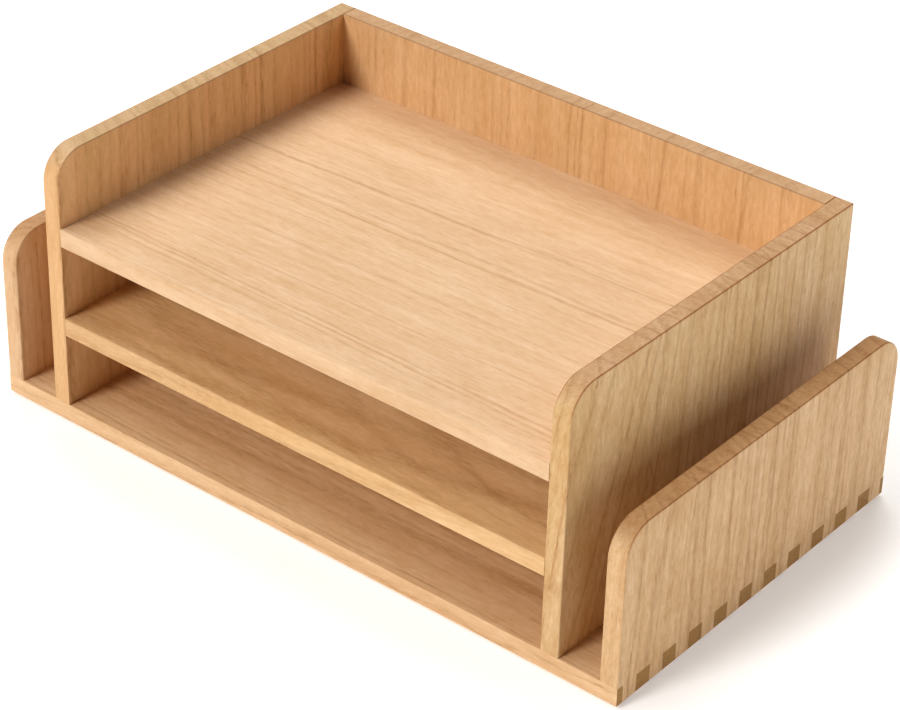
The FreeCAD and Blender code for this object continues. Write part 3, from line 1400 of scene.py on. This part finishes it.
@dataclass
class Studio:
    """Pale paper floor, soft boxes on all sides, and the camera.

    Attributes:
        azimuth: Camera's turn round the tray from its front, in degrees.
        elevation: Camera's height above the horizon, in degrees.
        roll: Camera's turn about its own axis, in degrees.
        distance: From the aim to the camera, in metres.
        aim_mm: From the centre of the tray's box to the aim.
        lens_mm: Focal length.
        sensor_mm: Width of the sensor.
        nearest: Distance past which the camera sees, in metres.
        floor_reach: From the floor's centre to its sides, in metres.
        sky: Strength of the even white all round.
        lights: The soft boxes.
    """

    azimuth: float = 38.555
    elevation: float = 32.680
    roll: float = 1.568
    distance: float = 1.72
    aim_mm: Triple = (12.7, -6.3, -20.1)
    lens_mm: float = 118.34
    sensor_mm: float = 36.0
    nearest: float = 0.05
    floor_reach: float = 6.0
    sky: float = 0.06
    lights: tuple[SoftLight, ...] = (
        SoftLight("key", -15, 35, 17, 1.98), SoftLight("top_rear", -140, 55, 36, 1.45),
        SoftLight("top_left", -60, 60, 35, 0.86), SoftLight("low_right", 110, 12, 30, 0.58),
        SoftLight("rear_right", 130, 54, 36, 0.34))

    def build(self) -> None:
        """Make the floor, the lights and the camera."""
        low, high = CAD_BOX
        self._floor(low.z)
        self._surroundings()
        for light in self.lights:
            light.hang()
        self._camera((low + high) / 2)

    def _floor(self, level: float) -> None:
        """Lay the paper.

        Args:
            level: Height of what the tray stands on.
        """
        mesh = bpy.data.meshes.new("floor")
        corners = ((-1, -1), (1, -1), (1, 1), (-1, 1))
        mesh.from_pydata([(x * self.floor_reach, y * self.floor_reach, level) for x, y in corners], [],
                         [(0, 1, 2, 3)])
        mesh.materials.append(BACKGROUND_PAPER.material())
        link_object("floor", mesh)

    def _surroundings(self) -> None:
        """Light the scene from all round with even white."""
        world = bpy.data.worlds.new("white_studio")
        world.use_nodes = True
        tree = Tree(world.node_tree)
        glow = tree.add("ShaderNodeBackground", {"Color": (1, 1, 1, 1), "Strength": self.sky})
        tree.add("ShaderNodeOutputWorld", {"Surface": glow})
        bpy.context.scene.world = world

    def _camera(self, centre: Vector) -> None:
        """Set the camera.

        Args:
            centre: Centre of the tray's box.
        """
        back = station(self.azimuth, self.elevation)
        data = bpy.data.cameras.new("camera")
        data.lens = self.lens_mm
        data.sensor_width = self.sensor_mm
        data.clip_start = self.nearest
        place = centre + Vector(self.aim_mm) * MM + back * self.distance
        bpy.context.scene.camera = stand(data, place, back, self.roll)
        bpy.context.scene.view_settings.view_transform = "Standard"


# ---------------------------------------------------------------------------------------------
# The tray's own cuts of ash

ASH = {
    "base_board": OiledAsh(
        "ash_base", Grain.ALONG_X, pith=(0, 60, -90), lean=(0.8, 0.3), ring_mm=6.0, seed=1.0,
        ground="#E2B98A", drift="#DCB082", line_strength=0.55, rarity=2.0, mottle=1.1, pores=0.7,
        end_colour="#BAA86E",
        marks=(Mark(-96, 5, 0.35, 0.02), Mark(-78, 9, 0.30, 0.03), Mark(-60, 4, 0.30, 0.03))),
    "left_outer_side": OiledAsh(
        "ash_left_outer", Grain.ALONG_Z, pith=(60, -210, 0), seed=2.0, ring_mm=7.0,
        ground="#DAB084", drift="#D4A87A", line_strength=0.5),
    "right_outer_side": OiledAsh(
        "ash_right_outer", Grain.ALONG_Z, pith=(-70, -190, 0), lean=(1.0, -2.0), ring_mm=7.0, seed=3.0,
        line_strength=0.55, mottle=1.9, ground="#DBB384", drift="#D6AD7C",
        end_colour="#D0C1AD", arris_colour="#DCC6AE",
        marks=(Mark(-132, 8, 0.14), Mark(-101, 5, 0.30, 0.12, 14), Mark(-66, 3, 0.40),
               Mark(-56, 2.5, 0.45), Mark(-33, 2, 0.35), Mark(-13, 2, 0.40), Mark(-5, 2, 0.35),
               Mark(6, 2, 0.45), Mark(14, 2, 0.42), Mark(22, 2.5, 0.45), Mark(54, 2, 0.25),
               Mark(77, 4, 0.28), Mark(98, 3, 0.2))),
    "left_tall_side": OiledAsh(
        "ash_left_tall", Grain.ALONG_Z, pith=(-80, -210, 0), lean=(0.5, 2.0), seed=4.0, ring_mm=8.5,
        ground="#E0AE7A", drift="#DAAB75", line_strength=0.55, end_colour="#EBF5FF"),
    "right_tall_side": OiledAsh(
        "ash_right_tall", Grain.ALONG_Z, pith=(-80, -155, 0), lean=(1.0, -7.0), seed=5.0, ring_mm=7.0,
        ground="#DDB785", drift="#D6AE78", mottle=1.7, line_strength=0.45,
        end_colour="#E4D9D8", arris_colour="#D4B498",
        marks=(Mark(-132, 9, 0.26), Mark(-118, 2.5, 0.30, 0.30), Mark(-92, 2.5, 0.35, 0.36),
               Mark(-79, 2, 0.40, 0.30), Mark(-49, 1.8, 0.35, 0.15), Mark(-28, 2, 0.35, 0.05),
               Mark(6, 1.8, 0.30), Mark(17, 1.8, 0.40), Mark(35, 2, 0.40), Mark(46, 1.8, 0.40),
               Mark(56, 1.8, 0.40), Mark(64, 1.5, 0.35), Mark(72, 1.8, 0.40), Mark(82, 2, 0.35),
               Mark(92, 1.8, 0.35), Mark(102, 1.8, 0.30))),
    "top_deck": OiledAsh(
        "ash_deck", Grain.ALONG_X, pith=(0, 85, -60), lean=(-1.0, -0.8), seed=6.0, ring_mm=3.4,
        ground="#E0B98F", drift="#DDB58B", line_strength=0.32, rarity=2.0, wander_mm=3.0, pores=0.40,
        marks=(Mark(36, 2.2, 0.36, 0.05), Mark(2, 1.8, 0.34, 0.035), Mark(-7, 1.2, 0.2, 0.03),
               Mark(-19, 1.2, 0.14, 0.02), Mark(88, 4, 0.12, 0.02), Mark(66, 2, 0.1, 0.04),
               Mark(-98, 1.6, 0.34, -0.015), Mark(-102, 1.4, 0.36, -0.02), Mark(-107, 1.8, 0.26, -0.02))),
    "middle_shelf": OiledAsh(
        "ash_shelf", Grain.ALONG_X, pith=(0, -75, -46), lean=(3.0, 0.5), seed=7.0, ring_mm=7.0,
        wander_mm=9.0, line_strength=0.35, mottle=1.2, pores=0.5,
        marks=(Mark(-114, 11, 0.35, 0.10, 4), Mark(-88, 9, 0.25, 0.14))),
    "back_panel": OiledAsh(
        "ash_back", Grain.ALONG_Z, pith=(-260, 60, 0), crosswise=True, seed=8.0, ring_mm=8.0,
        ground="#E2B380", drift="#DEB07D", line_strength=0.38, rarity=1.6, mottle=1.2,
        end_colour="#E3E1E4",
        marks=(Mark(-128, 3, 0.22), Mark(-105, 2, 0.30), Mark(-52, 2, 0.25), Mark(-24, 2, 0.30),
               Mark(0, 2, 0.35), Mark(9, 2, 0.32), Mark(26, 4, 0.3), Mark(62, 2, 0.35, 0.08),
               Mark(92, 3, 0.3), Mark(120, 3, 0.3, 0.1))),
}


def main() -> None:
    """Build the tray's sub-assemblies in order, then the studio."""
    logging.basicConfig(level=logging.INFO, format="%(name)s: %(message)s")
    dowels, screws = Dowels(), Screws()
    cutter = BoardCutter(drills=[dowels.holes(), screws.holes()])
    BoxJointedBase(cutter).build()
    TallCarcase(cutter).build()
    for drill in cutter.drills:
        bpy.data.objects.remove(drill)
    dowels.build()
    screws.build()
    Pads().build()
    Studio().build()


if __name__ == "__main__":
    main()
